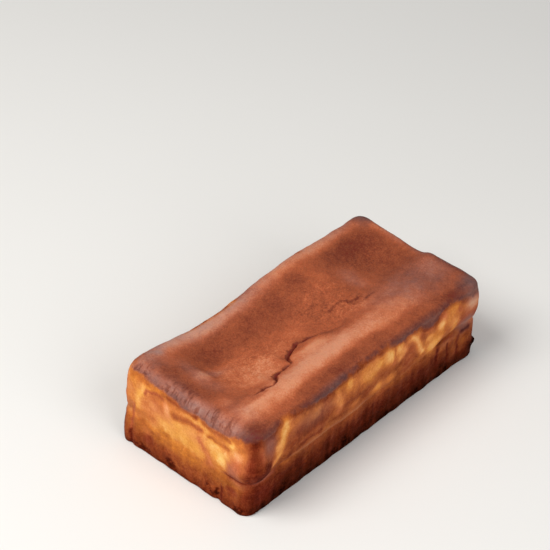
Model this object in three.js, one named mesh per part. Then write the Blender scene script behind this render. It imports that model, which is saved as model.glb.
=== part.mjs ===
// A whole baked sweet potato cheesecake: one solid loaf-shaped bar with a sunken, cracked top.
// Millimetres, +Z up, +X along the length. The origin is the middle of the flat underside.
import * as THREE from "three";

// ---- Driving dimensions ----
const LENGTH = 176;
const WIDTH = 82;
const RIM_HEIGHT = 48;
const TAPER = 0.018;
const CORNER_ROUND = 6.5;
const BASE_ROUND = 0.9;

// How round the top rim is on each side.
const RIM_ROUND = { left: 6.5, right: 4.5, front: 3, back: 5 };

// Rim heights above or below RIM_HEIGHT, as (place along the side, rise).
const BACK_RIM = [
  [-86, -0.4], [-66, -1.7], [-46, -4], [-27, -4.8], [-8, -3.0], [12, -0.1], [30, 1.1], [60, 0.8], [86, 0.4],
];
const FRONT_RIM = [[-86, -0.6], [-45, -1.0], [0, -0.8], [45, -0.6], [86, -0.9]];
const LEFT_RIM = [[-40, -0.5], [-15, 0.1], [15, -0.2], [40, -0.4]];
const RIGHT_RIM = [
  [-40, -0.4], [-20, -0.1], [-12, 0.3], [-8, 0.1], [-3, -2.0], [5, -2.1], [20, -0.6], [40, 0.9],
];

// The broad ridge inside the front rim.
const RIDGE_Y = -24.5;
const RIDGE_REACH = 8.5;
const RIDGE_RISE = [[-82, 0], [-70, 2.0], [-50, 2.9], [-15, 3.2], [25, 2.6], [55, 1.6], [80, 0]];

// The sunken middle: its deepest line, its reach across, and its depth along the length.
const TROUGH_Y = 9;
const TROUGH_REACH = 19;
const TROUGH_DEPTH = [
  [-84, 0], [-74, -1.0], [-58, -3.9], [-34, -4.2], [-8, -3.6], [14, -2.4], [30, -1.2], [48, -2.8], [64, -3.4],
  [77, -1.4], [84, 0],
];

// Rounded hollows and swells on the top: middle, reach along X and Y, rise.
const SWELLS = [
  { at: [-49, 17], reach: [12, 9], rise: -2.2 },
  { at: [-66, 10], reach: [5, 12], rise: 1.2 },
  { at: [-50, -8], reach: [16, 7], rise: -1.0 },
  { at: [-13, -15], reach: [13, 5], rise: 1.3 },
  { at: [24, 16], reach: [10, 16], rise: 1.1 },
  { at: [60, 16], reach: [14, 14], rise: -1.3 },
  { at: [8, -10], reach: [9, 6], rise: -0.9 },
  { at: [-78, -27], reach: [8, 9], rise: 0.9 },
];

// The crack at the inner foot of the ridge.
const CRACK_LINE = [
  [-86, -19], [-66, -19.2], [-60, -19.4], [-57.5, -20.3], [-54.7, -20.5], [-52, -21.3], [-48.4, -21],
  [-45.2, -19], [-43, -16.4], [-40.3, -16], [-36.6, -15.3], [-33.7, -14.7], [-30.3, -14.2], [-28.3, -12],
  [-26.6, -9.8],
  [-20.7, -7.3], [-15, -6.1], [-9.4, -7], [-4.1, -8.7], [2.3, -11.6], [7.5, -14.6], [14, -14.5], [24, -10],
  [40, -11], [86, -14],
];
const CRACK_STRENGTH = [
  [-65, 0], [-60, 0.7], [-51, 0.7], [-48, 0.35], [-44.5, 1], [-34, 1], [-30.5, 0.5], [-27, 1], [-9, 1],
  [-5, 0.7], [3, 0.45], [14, 0],
];
const CRACK_STEP = 2.2;
const CRACK_STEP_REACH = 7;
const CRACK_DEPTH = 0.8;
const CRACK_HALF_WIDTH = 1.0;
const CRACK_ROWS = [-2.2, -1.0, 0, 1.0, 2.2];
const CRACK_ROW_Y = -13;
const CRACK_PULL = 17;

// The crease along the sides, where the fuller upper half stands over the lower band.
const LEDGE_DEPTH = 1.7;
const LEDGE_REACH = 9;
const CREASE_DEPTH = 1.1;
const CREASE_HALF_HEIGHT = 1.2;

// The raised pleat that runs along part of the front face.
const PLEAT_HEIGHT = 22.4;
const PLEAT_HALF_HEIGHT = 1.9;
const PLEAT_RISE = 0.55;

// The shallow upright folds and the swell of the sides.
const FOLD_DEPTH = 0.25;
const BELLY_DEPTH = 0.9;
const BELLY_HEIGHT = 33;

// Round forms on the upright corners: which corner, middle height, reach up and down, reach around, depth.
const CORNER_FORMS = [
  { corner: [-1, -1], height: 27, tall: 8.5, reach: 13, depth: 1.9 },
  { corner: [-1, -1], height: 18, tall: 2.2, reach: 15, depth: -1.5 },
  { corner: [-1, 1], height: 8, tall: 13, reach: 9, depth: 1.8 },
  { corner: [1, -1], height: 5, tall: 13, reach: 12, depth: 0.8 },
  { corner: [1, 1], height: 30, tall: 10, reach: 12, depth: 0.8 },
  { corner: [1, -1], height: 7.5, tall: 1.8, reach: 3.4, depth: 2.8 },
];

// Upright creases in the left face: place, top, depth.
const UPRIGHT_CREASES = [
  { at: -22, top: 15, depth: 1.0 },
  { at: 34.5, top: 29, depth: 0.9 },
];

// Grid cells along the length, the width and the height.
const CELLS_X = 58;
const CELLS_Y = 24;
const CELLS_Z = 14;

const HALF_X = LENGTH / 2;
const HALF_Y = WIDTH / 2;

// ---- Small helpers ----
function clamp(value, low, high) {
  return Math.min(high, Math.max(low, value));
}

function smooth(low, high, value) {
  const t = clamp((value - low) / (high - low), 0, 1);
  return t * t * (3 - 2 * t);
}

function bell(distance, reach) {
  return Math.exp(-((distance / reach) ** 2));
}

// A soft curve through (place, value) pairs, level beyond its ends.
function along(pairs, place) {
  const last = pairs.length - 1;
  if (place <= pairs[0][0]) return pairs[0][1];
  if (place >= pairs[last][0]) return pairs[last][1];
  let i = 0;
  while (place > pairs[i + 1][0]) i += 1;
  const [x0, y0] = pairs[i];
  const [x1, y1] = pairs[i + 1];
  const slope = (a, b) => (b[1] - a[1]) / (b[0] - a[0]);
  const here = slope(pairs[i], pairs[i + 1]);
  const before = i > 0 ? slope(pairs[i - 1], pairs[i + 1]) : here;
  const after = i + 2 <= last ? slope(pairs[i], pairs[i + 2]) : here;
  const t = (place - x0) / (x1 - x0);
  const span = x1 - x0;
  const h00 = (1 + 2 * t) * (1 - t) ** 2;
  const h10 = t * (1 - t) ** 2;
  const h01 = t * t * (3 - 2 * t);
  const h11 = t * t * (t - 1);
  return h00 * y0 + h10 * span * before + h01 * y1 + h11 * span * after;
}

// An uneven wave made of three sines, between about -1 and 1.
function waves(place, wavelength, phase) {
  const turn = (place * 2 * Math.PI) / wavelength;
  const first = 0.5 * Math.sin(turn + phase);
  const second = 0.3 * Math.sin(turn * 1.73 + 2.1 * phase);
  return first + second + 0.2 * Math.sin(turn * 2.61 + 3.7 * phase);
}

// ---- Top surface: rise above RIM_HEIGHT ----
function rimRise(x, y) {
  const s = smooth(-HALF_Y, HALF_Y, y);
  const lengthwise = along(FRONT_RIM, x) * (1 - s) + along(BACK_RIM, x) * s;
  const leftShare = 1 - smooth(0, 22, x + HALF_X);
  const rightShare = 1 - smooth(0, 22, HALF_X - x);
  const middleShare = 1 - leftShare - rightShare;
  return lengthwise * middleShare + along(LEFT_RIM, y) * leftShare + along(RIGHT_RIM, y) * rightShare;
}

function crackRise(x, y) {
  const strength = along(CRACK_STRENGTH, x);
  const distance = y - along(CRACK_LINE, x);
  const groove = -CRACK_DEPTH * bell(distance, CRACK_HALF_WIDTH);
  const step = distance > 0 ? -CRACK_STEP * Math.exp(-distance / CRACK_STEP_REACH) : 0;
  return strength * (groove + step);
}

function topRise(x, y) {
  let rise = rimRise(x, y);
  rise += along(RIDGE_RISE, x) * bell(y - RIDGE_Y, RIDGE_REACH);
  rise += along(TROUGH_DEPTH, x) * bell(y - TROUGH_Y, TROUGH_REACH);
  for (const swell of SWELLS) {
    rise += swell.rise * bell(x - swell.at[0], swell.reach[0]) * bell(y - swell.at[1], swell.reach[1]);
  }
  return rise + crackRise(x, y);
}

// ---- Side surface: how far it stands out, by face ----
function frontCrease(a) {
  const rightEnd = 0.75 * smooth(48, 60, a);
  const leftHalf = 0.2 * (1 - smooth(-8, 8, a));
  const leftEnd = 0.45 * (1 - smooth(-80, -64, a));
  return 0.25 + rightEnd + leftHalf + leftEnd;
}

function frontPleat(a) {
  return smooth(-62, -52, a) * (1 - smooth(-10, 2, a));
}

// Each face: its outward direction, the place along it, its crease's strength and height, its pleat, its
// belly and the phase of its folds.
const FACES = [
  {
    out: [0, -1],
    place: (x, y) => x,
    crease: frontCrease,
    height: (a) => 20.5 + 4.2 * smooth(20, 62, a) + 0.7 * waves(a, 60, 1),
    pleat: frontPleat,
    belly: 0.7,
    phase: 0.4,
  },
  {
    out: [-1, 0],
    place: (x, y) => y,
    crease: (a) => 0.12 + 0.75 * (1 - smooth(-34, -24, a)),
    height: (a) => 19.5 + 0.6 * waves(a, 40, 2),
    pleat: () => 0,
    belly: 1.1,
    phase: 1.7,
  },
  {
    out: [0, 1],
    place: (x, y) => -x,
    crease: (a) => 0.6 + 0.35 * waves(a, 95, 3),
    height: (a) => 21.5 + 1.4 * waves(a, 85, 4),
    pleat: () => 0,
    belly: 0.9,
    phase: 2.9,
  },
  {
    out: [1, 0],
    place: (x, y) => -y,
    crease: (a) => 0.7 + 0.25 * waves(a, 55, 5),
    height: (a) => 23 + 0.8 * waves(a, 45, 6),
    pleat: () => 0,
    belly: 0.1,
    phase: 4.1,
  },
];

function sideStand(face, x, y, z) {
  const a = face.place(x, y);
  const crease = face.crease(a);
  const height = face.height(a);
  const ledge = smooth(height - 1, height + LEDGE_REACH, z) * (1 - 0.5 * smooth(36, 48, z));
  let stand = crease * LEDGE_DEPTH * ledge;
  stand -= crease * CREASE_DEPTH * bell(z - height, CREASE_HALF_HEIGHT);
  stand += face.pleat(a) * PLEAT_RISE * bell(z - PLEAT_HEIGHT, PLEAT_HALF_HEIGHT);
  stand += face.belly * BELLY_DEPTH * bell(z - BELLY_HEIGHT, 13);
  const lower = 1 - smooth(height - 7, height + 2, z);
  stand += lower * FOLD_DEPTH * waves(a, 19, face.phase);
  stand += (1 - lower) * 0.35 * waves(a + 0.4 * z, 34, face.phase + 2);
  return stand;
}

function cornerStand(x, y, z) {
  let stand = 0;
  for (const form of CORNER_FORMS) {
    const away = Math.hypot(x - form.corner[0] * HALF_X, y - form.corner[1] * HALF_Y);
    stand += form.depth * bell(z - form.height, form.tall) * bell(away, form.reach);
  }
  return stand;
}

function uprightStand(x, y, z) {
  if (x > -HALF_X + CORNER_ROUND) return 0;
  let stand = 0;
  for (const crease of UPRIGHT_CREASES) {
    stand -= crease.depth * bell(y - crease.at, 1.8) * (1 - smooth(crease.top - 5, crease.top, z));
  }
  return stand;
}

// ---- From a plain box to the loaf ----
function rimRound(px, py) {
  const toLeft = clamp(1 - (px + HALF_X) / CORNER_ROUND, 0, 1);
  const toRight = clamp(1 - (HALF_X - px) / CORNER_ROUND, 0, 1);
  const toFront = clamp(1 - (py + HALF_Y) / CORNER_ROUND, 0, 1);
  const toBack = clamp(1 - (HALF_Y - py) / CORNER_ROUND, 0, 1);
  const total = toLeft + toRight + toFront + toBack;
  if (total === 0) return 0;
  const endSum = toLeft * RIM_ROUND.left + toRight * RIM_ROUND.right;
  return (endSum + toFront * RIM_ROUND.front + toBack * RIM_ROUND.back) / total;
}

function loafPoint(px, py, pz) {
  const depth = Math.min(HALF_X - Math.abs(px), HALF_Y - Math.abs(py));
  const below = RIM_HEIGHT - pz;
  const round = rimRound(px, py);
  let inset = depth;
  let drop = below;
  if (depth < round && below < round) {
    const a = round - depth;
    const b = round - below;
    const squeeze = Math.max(a, b) / Math.hypot(a, b);
    inset = round - a * squeeze;
    drop = round - b * squeeze;
  }
  let x = (px * (HALF_X - inset)) / (HALF_X - depth);
  let y = (py * (HALF_Y - inset)) / (HALF_Y - depth);

  // Round the upright corners.
  const overX = Math.abs(x) - (HALF_X - CORNER_ROUND);
  const overY = Math.abs(y) - (HALF_Y - CORNER_ROUND);
  let outX = overX >= overY ? Math.sign(x) : 0;
  let outY = overX >= overY ? 0 : Math.sign(y);
  if (overX > 0 && overY > 0) {
    const length = Math.hypot(overX, overY);
    const squeeze = Math.max(overX, overY) / length;
    x = Math.sign(x) * (HALF_X - CORNER_ROUND + overX * squeeze);
    y = Math.sign(y) * (HALF_Y - CORNER_ROUND + overY * squeeze);
    outX = (Math.sign(x) * overX) / length;
    outY = (Math.sign(y) * overY) / length;
  }

  // Push the sides in and out.
  const z = RIM_HEIGHT - drop;
  let stand = cornerStand(x, y, z) + uprightStand(x, y, z);
  for (const face of FACES) {
    const share = Math.max(0, outX * face.out[0] + outY * face.out[1]) ** 2;
    if (share > 0) stand += share * sideStand(face, x, y, z);
  }
  if (z < BASE_ROUND) {
    stand -= BASE_ROUND - Math.sqrt(BASE_ROUND ** 2 - (BASE_ROUND - z) ** 2);
  }
  stand *= 1 - smooth(0, CORNER_ROUND, inset);
  stand -= 0.5 * bell(z - 44.5, 2) * Math.max(0, -outY) * (1 - smooth(0, 3, inset));

  const shrink = 1 - TAPER * (z / RIM_HEIGHT);
  const px2 = x * shrink + stand * outX;
  const py2 = y * shrink + stand * outY;
  const lift = topRise(px2, py2) * smooth(0.45, 1, z / RIM_HEIGHT);
  return [px2, py2, z + lift];
}

// Grid places from -half to half, closer together near both ends.
function places(half, cells) {
  const list = [];
  for (let i = 0; i <= cells; i += 1) {
    const t = (2 * i) / cells - 1;
    list.push(half * (0.42 * t + 0.58 * Math.sin((Math.PI / 2) * t)));
  }
  return list;
}

function rowsAcross() {
  const plain = places(HALF_Y, CELLS_Y).filter((y) => Math.abs(y - CRACK_ROW_Y) > 3.2);
  const nearCrack = CRACK_ROWS.map((offset) => CRACK_ROW_Y + offset);
  return [...plain, ...nearCrack].sort((a, b) => a - b);
}

function rowsUp() {
  const list = [0, 0.4];
  for (let k = 0; k <= CELLS_Z - 2; k += 1) {
    const t = k / (CELLS_Z - 2);
    list.push(BASE_ROUND + (RIM_HEIGHT - BASE_ROUND) * (0.75 * t + 0.25 * Math.sin((Math.PI / 2) * t)));
  }
  return list;
}

// Bend the rows near the crack so that one of them runs along it.
function followCrack(x, y) {
  const shift = along(CRACK_LINE, x) - CRACK_ROW_Y;
  const ends = smooth(0, 12, HALF_X - Math.abs(x));
  const across = 1 - smooth(0, 1, Math.abs(y - CRACK_ROW_Y) / CRACK_PULL);
  return y + shift * across * ends;
}

// ---- One closed skin: a ring of walls, a gridded top and a flat fan below ----
function loafGeometry() {
  const xs = places(HALF_X, CELLS_X);
  const ys = rowsAcross();
  const zs = rowsUp();
  const nx = xs.length - 1;
  const ny = ys.length - 1;
  const nz = zs.length - 1;
  const points = [];
  const triangles = [];

  const ring = [];
  for (let i = 0; i < nx; i += 1) ring.push([i, 0]);
  for (let j = 0; j < ny; j += 1) ring.push([nx, j]);
  for (let i = nx; i > 0; i -= 1) ring.push([i, ny]);
  for (let j = ny; j > 0; j -= 1) ring.push([0, j]);
  const around = ring.length;

  function add(x, y, z) {
    points.push(...loafPoint(x, y, z));
    return points.length / 3 - 1;
  }

  const topIndex = Array.from({ length: nx + 1 }, () => new Array(ny + 1).fill(-1));
  for (let k = 0; k <= nz; k += 1) {
    for (const [i, j] of ring) {
      const index = add(xs[i], ys[j], zs[k]);
      if (k === nz) topIndex[i][j] = index;
    }
  }
  for (let i = 1; i < nx; i += 1) {
    for (let j = 1; j < ny; j += 1) {
      topIndex[i][j] = add(xs[i], followCrack(xs[i], ys[j]), RIM_HEIGHT);
    }
  }
  for (let k = 0; k < nz; k += 1) {
    for (let n = 0; n < around; n += 1) {
      const a = k * around + n;
      const b = k * around + ((n + 1) % around);
      triangles.push(a, b, b + around, a, b + around, a + around);
    }
  }
  for (let i = 0; i < nx; i += 1) {
    for (let j = 0; j < ny; j += 1) {
      const a = topIndex[i][j];
      const b = topIndex[i + 1][j];
      const c = topIndex[i + 1][j + 1];
      const d = topIndex[i][j + 1];
      triangles.push(a, b, c, a, c, d);
    }
  }
  const middle = points.length / 3;
  points.push(0, 0, 0);
  for (let n = 0; n < around; n += 1) triangles.push(middle, (n + 1) % around, n);

  const geometry = new THREE.BufferGeometry();
  geometry.setAttribute("position", new THREE.Float32BufferAttribute(points, 3));
  geometry.setIndex(triangles);
  geometry.computeBoundingBox();
  const box = geometry.boundingBox;
  geometry.translate(-(box.min.x + box.max.x) / 2, -(box.min.y + box.max.y) / 2, -box.min.z);
  geometry.computeVertexNormals();
  return geometry;
}

const bakedCrust = new THREE.MeshStandardMaterial({ color: 0x9a5a35, roughness: 0.5, metalness: 0 });
const cheesecake = new THREE.Mesh(loafGeometry(), bakedCrust);
cheesecake.name = "cheesecake";

const part = new THREE.Group();
part.add(cheesecake);

export default part;
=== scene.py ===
"""A whole baked sweet potato cheesecake on a plain pale floor.

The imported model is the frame. Its one node is replaced by a finer mesh of the same form, made here from the
same named sizes, with the crust's small relief and its browning worked out by formula.
"""

import math
from itertools import product

import bpy
import numpy as np
from mathutils import Matrix, Vector


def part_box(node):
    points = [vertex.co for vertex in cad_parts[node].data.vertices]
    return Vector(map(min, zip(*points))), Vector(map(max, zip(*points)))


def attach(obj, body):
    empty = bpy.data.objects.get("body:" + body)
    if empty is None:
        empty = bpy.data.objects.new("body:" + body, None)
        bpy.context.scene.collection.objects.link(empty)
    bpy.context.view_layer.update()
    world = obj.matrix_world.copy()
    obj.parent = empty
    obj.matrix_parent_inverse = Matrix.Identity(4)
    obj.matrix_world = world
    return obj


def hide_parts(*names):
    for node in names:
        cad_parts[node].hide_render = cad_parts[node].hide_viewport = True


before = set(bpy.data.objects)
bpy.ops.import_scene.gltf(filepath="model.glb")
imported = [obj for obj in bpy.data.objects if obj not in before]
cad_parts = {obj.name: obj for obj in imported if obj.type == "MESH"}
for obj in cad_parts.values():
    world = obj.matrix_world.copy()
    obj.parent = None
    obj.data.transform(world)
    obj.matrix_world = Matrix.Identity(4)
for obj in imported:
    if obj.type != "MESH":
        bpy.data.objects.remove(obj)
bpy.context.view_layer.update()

NODE = "cheesecake"
MM = 0.001

# ---- The cake's form, in millimetres, as in the CAD part ----
# The front is the -Y side, the left end the -X side.
LENGTH = 176
WIDTH = 82
RIM_HEIGHT = 48
TAPER = 0.018
CORNER_ROUND = 6.5
BASE_ROUND = 0.9
RIM_ROUND = {"left": 6.5, "right": 4.5, "front": 3, "back": 5}

# The rims, as pairs of place along the rim and rise.
BACK_RIM = [
    (-86, -0.4), (-66, -1.7), (-46, -4.0), (-27, -4.8), (-8, -3.0), (12, -0.1), (30, 1.1), (60, 0.8),
    (86, 0.4),
]
FRONT_RIM = [(-86, -0.6), (-45, -1.0), (0, -0.8), (45, -0.6), (86, -0.9)]
LEFT_RIM = [(-40, -0.5), (-15, 0.1), (15, -0.2), (40, -0.4)]
RIGHT_RIM = [(-40, -0.4), (-20, -0.1), (-12, 0.3), (-8, 0.1), (-3, -2.0), (5, -2.1), (20, -0.6), (40, 0.9)]
RIM_REACH = 22
# Below this share of the height the uneven rim lifts nothing.
LIFT_FROM = 0.45

RIDGE_Y = -24.5
RIDGE_REACH = 8.5
RIDGE_RISE = [(-82, 0), (-70, 2.0), (-50, 2.9), (-15, 3.2), (25, 2.6), (55, 1.6), (80, 0)]

TROUGH_Y = 9
TROUGH_REACH = 19
TROUGH_DEPTH = [
    (-84, 0), (-74, -1.0), (-58, -3.9), (-34, -4.2), (-8, -3.6), (14, -2.4),
    (30, -1.2), (48, -2.8), (64, -3.4), (77, -1.4), (84, 0),
]

# Swells and hollows of the top: middle x, y, reach x, y, rise.
SWELLS = [
    (-49, 17, 12, 9, -2.2),
    (-66, 10, 5, 12, 1.2),
    (-50, -8, 16, 7, -1.0),
    (-13, -15, 13, 5, 1.3),
    (24, 16, 10, 16, 1.1),
    (60, 16, 14, 14, -1.3),
    (8, -10, 9, 6, -0.9),
    (-78, -27, 8, 9, 0.9),
]

# The crack: its line over the top, and its strength and the painted shade of its torn part, as shares, by
# place along.
CRACK_LINE = [
    (-86, -19), (-66, -19.2), (-60, -19.4), (-57.5, -20.3), (-54.7, -20.5), (-52, -21.3), (-48.4, -21),
    (-45.2, -19), (-43, -16.4), (-40.3, -16), (-36.6, -15.3), (-33.7, -14.7), (-30.3, -14.2), (-28.3, -12),
    (-26.6, -9.8), (-20.7, -7.3), (-15, -6.1), (-9.4, -7), (-4.1, -8.7), (2.3, -11.6), (7.5, -14.6),
    (14, -14.5), (24, -10), (40, -11), (86, -14),
]
CRACK_STRENGTH = [
    (-65, 0), (-60, 0.7), (-51, 0.7), (-48, 0.35), (-44.5, 1), (-34, 1), (-30.5, 0.5), (-27, 1), (-9, 1),
    (-5, 0.7), (3, 0.45), (14, 0),
]
CRACK_TEAR = [
    (-61.5, 0), (-59, 0.7), (-53, 0.8), (-50, 0.25), (-46.5, 0.7), (-44, 1), (-38, 0.9), (-33, 0.6),
    (-30.5, 0.12), (-28, 0.8), (-24, 0.85), (-14, 0.9), (-8, 0.8), (-5, 0.2), (0, 0),
]
CRACK_STEP = 2.2
CRACK_STEP_REACH = 7
CRACK_DEPTH = 0.8
CRACK_HALF_WIDTH = 1.0
CRACK_JAG = 0.45
CRACK_JAG_SIZE = 3

# The crease round the sides, the ledge that stands out above it, and the pleat along the front.
LEDGE_DEPTH = 1.7
LEDGE_REACH = 9
LEDGE_FADE = 0.5
LEDGE_FADE_FROM = 36
CREASE_DEPTH = 1.1
CREASE_HALF_HEIGHT = 1.2
PLEAT_HEIGHT = 22.4
PLEAT_HALF_HEIGHT = 1.9
PLEAT_RISE = 0.55
BELLY_DEPTH = 0.9
BELLY_HEIGHT = 33
BELLY_REACH = 13
# Upright folds below the crease, and wider leaning ones above it.
FOLD_DEPTH = 0.25
FOLD_WAVE = 19
FOLD_FADE = (-7, 2)
UPPER_FOLD_DEPTH = 0.35
UPPER_FOLD_WAVE = 34
UPPER_FOLD_LEAN = 0.4
# The shallow groove under the front rim.
FRONT_GROOVE_DEPTH = 0.5
FRONT_GROOVE_HEIGHT = 44.5
FRONT_GROOVE_HALF_HEIGHT = 2
FRONT_GROOVE_INSET = 3

# Round forms on the upright corners: corner x, y, height, reach up and down, reach around, depth.
CORNER_FORMS = [
    (-1, -1, 27, 8.5, 13, 1.9),
    (-1, -1, 18, 2.2, 15, -1.5),
    (-1, 1, 8, 13, 9, 1.8),
    (1, -1, 5, 13, 12, 0.8),
    (1, 1, 30, 10, 12, 0.8),
    (1, -1, 7.5, 1.8, 3.4, 2.8),
]
# Upright creases of the left end: place, top, depth.
UPRIGHT_CREASES = [(-22, 15, 1.0), (34.5, 29, 0.9)]
UPRIGHT_HALF_WIDTH = 1.8
UPRIGHT_FADE = 5

HALF_X = LENGTH / 2
HALF_Y = WIDTH / 2

# ---- The grid of the fine mesh ----
CELLS_X = 280
CELLS_Y = 132
CELLS_Z = 66
# The straight grid row that is bent onto the crack's line, and how far the bend reaches.
CRACK_ROW_Y = -13
CRACK_ROW_REACH = 17
CRACK_ROW_END = 12
# Where the cells are closer together: place, reach, how much closer.
CLOSER_X = [(-HALF_X, 6, 1.2), (HALF_X, 6, 1.2), (-30, 38, 0.6)]
CLOSER_Y = [(-HALF_Y, 6, 1.2), (HALF_Y, 6, 1.2), (CRACK_ROW_Y, 2, 1.5)]
CLOSER_Z = [(0, 1.5, 1.5), (RIM_HEIGHT, 5, 1.0)]


# ---- Small helpers, all on arrays ----
def smooth(low, high, value):
    """0 up to low, 1 from high on, and a soft step between."""
    t = np.clip((value - low) / (high - low), 0, 1)
    return t * t * (3 - 2 * t)


def bell(distance, reach):
    return np.exp(-((distance / reach) ** 2))


def blend(value, share, target):
    """The value moved towards the target by a share of the way."""
    return value + share * (target - value)


def along(pairs, place):
    """A soft curve through (place, value) pairs, level beyond its ends."""
    xs = np.array([p[0] for p in pairs], float)
    ys = np.array([p[1] for p in pairs], float)
    slopes = np.diff(ys) / np.diff(xs)
    tangents = np.concatenate([slopes[:1], (ys[2:] - ys[:-2]) / (xs[2:] - xs[:-2]), slopes[-1:]])
    place = np.clip(place, xs[0], xs[-1])
    i = np.clip(np.searchsorted(xs, place, side="left") - 1, 0, len(xs) - 2)
    span = xs[i + 1] - xs[i]
    t = (place - xs[i]) / span
    from_start = (1 + 2 * t) * (1 - t) ** 2 * ys[i] + t * (1 - t) ** 2 * span * tangents[i]
    to_end = t * t * (3 - 2 * t) * ys[i + 1] + t * t * (t - 1) * span * tangents[i + 1]
    return from_start + to_end


def waves(place, wavelength, phase):
    """An uneven wave made of three sines, between about -1 and 1."""
    turn = place * 2 * math.pi / wavelength
    first = 0.5 * np.sin(turn + phase)
    second = 0.3 * np.sin(turn * 1.73 + 2.1 * phase)
    return first + second + 0.2 * np.sin(turn * 2.61 + 3.7 * phase)


def noise(points, size, seed, octaves=3):
    """A soft random field, about -1 to 1, whose largest lumps are `size` wide. Each seed is another field."""
    total = np.zeros(len(points))
    gain_sum = 0.0
    for octave in range(octaves):
        table = np.random.default_rng(seed * 31 + octave).uniform(-1, 1, 8192)
        q = points * (2**octave / np.asarray(size, float)) + 1000.0
        cell = np.floor(q).astype(np.int64)
        f = q - cell
        f = f * f * (3 - 2 * f)
        value = np.zeros(len(points))
        for corner in product((0, 1), repeat=3):
            spot = cell + corner
            index = (spot[:, 0] * 73856093 ^ spot[:, 1] * 19349663 ^ spot[:, 2] * 83492791) & 8191
            weight = np.prod(np.where(corner, f, 1 - f), axis=1)
            value += weight * table[index]
        gain = 0.5**octave
        total += gain * value
        gain_sum += gain
    return 1.6 * total / gain_sum


def fields(points, rows, first_seed=0):
    """The sum of noise fields, each given as strength, size and seed."""
    return sum(strength * noise(points, size, first_seed + seed) for strength, size, seed in rows)


def oval(a, b, middle_a, middle_b, reach_a, reach_b, tilt=0.0):
    """1 in the middle of a soft-edged oval, 0 outside it."""
    turn = math.radians(tilt)
    da, db = a - middle_a, b - middle_b
    u = (da * math.cos(turn) - db * math.sin(turn)) / reach_a
    v = (da * math.sin(turn) + db * math.cos(turn)) / reach_b
    return np.exp(-((u * u + v * v) ** 1.4))


def line_distance(a, b, points):
    """Distance from each (a, b) to a line through points."""
    best = np.full(len(a), 1e9)
    for (a0, b0), (a1, b1) in zip(points, points[1:]):
        along_a, along_b = a1 - a0, b1 - b0
        t = np.clip(((a - a0) * along_a + (b - b0) * along_b) / (along_a**2 + along_b**2), 0, 1)
        best = np.minimum(best, np.hypot(a - a0 - t * along_a, b - b0 - t * along_b))
    return best


# ---- Top surface ----
def rim_rise(x, y):
    """The height of the uneven rim, carried evenly across the top."""
    share = smooth(-HALF_Y, HALF_Y, y)
    lengthwise = along(FRONT_RIM, x) * (1 - share) + along(BACK_RIM, x) * share
    left = 1 - smooth(0, RIM_REACH, x + HALF_X)
    right = 1 - smooth(0, RIM_REACH, HALF_X - x)
    return lengthwise * (1 - left - right) + along(LEFT_RIM, y) * left + along(RIGHT_RIM, y) * right


def crack_line(x):
    """The crack's place across the top, with its torn, jagged edge."""
    line = np.stack([x, np.zeros_like(x), np.zeros_like(x)], axis=1)
    return along(CRACK_LINE, x) + CRACK_JAG * noise(line, CRACK_JAG_SIZE, 51, octaves=2)


def crack_distance(x, y):
    return y - crack_line(x)


def crack_rise(x, y):
    distance = crack_distance(x, y)
    groove = -CRACK_DEPTH * bell(distance, CRACK_HALF_WIDTH)
    step = np.where(distance > 0, -CRACK_STEP * np.exp(-np.maximum(distance, 0) / CRACK_STEP_REACH), 0)
    return along(CRACK_STRENGTH, x) * (groove + step)


def top_rise(x, y):
    rise = rim_rise(x, y)
    rise += along(RIDGE_RISE, x) * bell(y - RIDGE_Y, RIDGE_REACH)
    rise += along(TROUGH_DEPTH, x) * bell(y - TROUGH_Y, TROUGH_REACH)
    for middle_x, middle_y, reach_x, reach_y, height in SWELLS:
        rise += height * bell(x - middle_x, reach_x) * bell(y - middle_y, reach_y)
    return rise + crack_rise(x, y)


# ---- Sides ----
# A place along a side runs along x or y. The crease's strength and height vary with it.
def front_crease(a):
    middle = 0.2 * (1 - smooth(-8, 8, a))
    left_end = 0.45 * (1 - smooth(-80, -64, a))
    return 0.25 + 0.75 * smooth(48, 60, a) + middle + left_end


def front_height(a):
    return 20.5 + 4.2 * smooth(20, 62, a) + 0.7 * waves(a, 60, 1)


def front_pleat(a):
    return smooth(-62, -52, a) * (1 - smooth(-10, 2, a))


def no_pleat(a):
    return np.zeros_like(a)


def left_crease(a):
    return 0.12 + 0.75 * (1 - smooth(-34, -24, a))


FACES = {
    "front": {
        "out": (0, -1),
        "place": lambda x, y: x,
        "crease": front_crease,
        "height": front_height,
        "pleat": front_pleat,
        "belly": 0.7,
        "phase": 0.4,
    },
    "left": {
        "out": (-1, 0),
        "place": lambda x, y: y,
        "crease": left_crease,
        "height": lambda a: 19.5 + 0.6 * waves(a, 40, 2),
        "pleat": no_pleat,
        "belly": 1.1,
        "phase": 1.7,
    },
    "back": {
        "out": (0, 1),
        "place": lambda x, y: -x,
        "crease": lambda a: 0.6 + 0.35 * waves(a, 95, 3),
        "height": lambda a: 21.5 + 1.4 * waves(a, 85, 4),
        "pleat": no_pleat,
        "belly": 0.9,
        "phase": 2.9,
    },
    "right": {
        "out": (1, 0),
        "place": lambda x, y: -y,
        "crease": lambda a: 0.7 + 0.25 * waves(a, 55, 5),
        "height": lambda a: 23 + 0.8 * waves(a, 45, 6),
        "pleat": no_pleat,
        "belly": 0.1,
        "phase": 4.1,
    },
}


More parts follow.
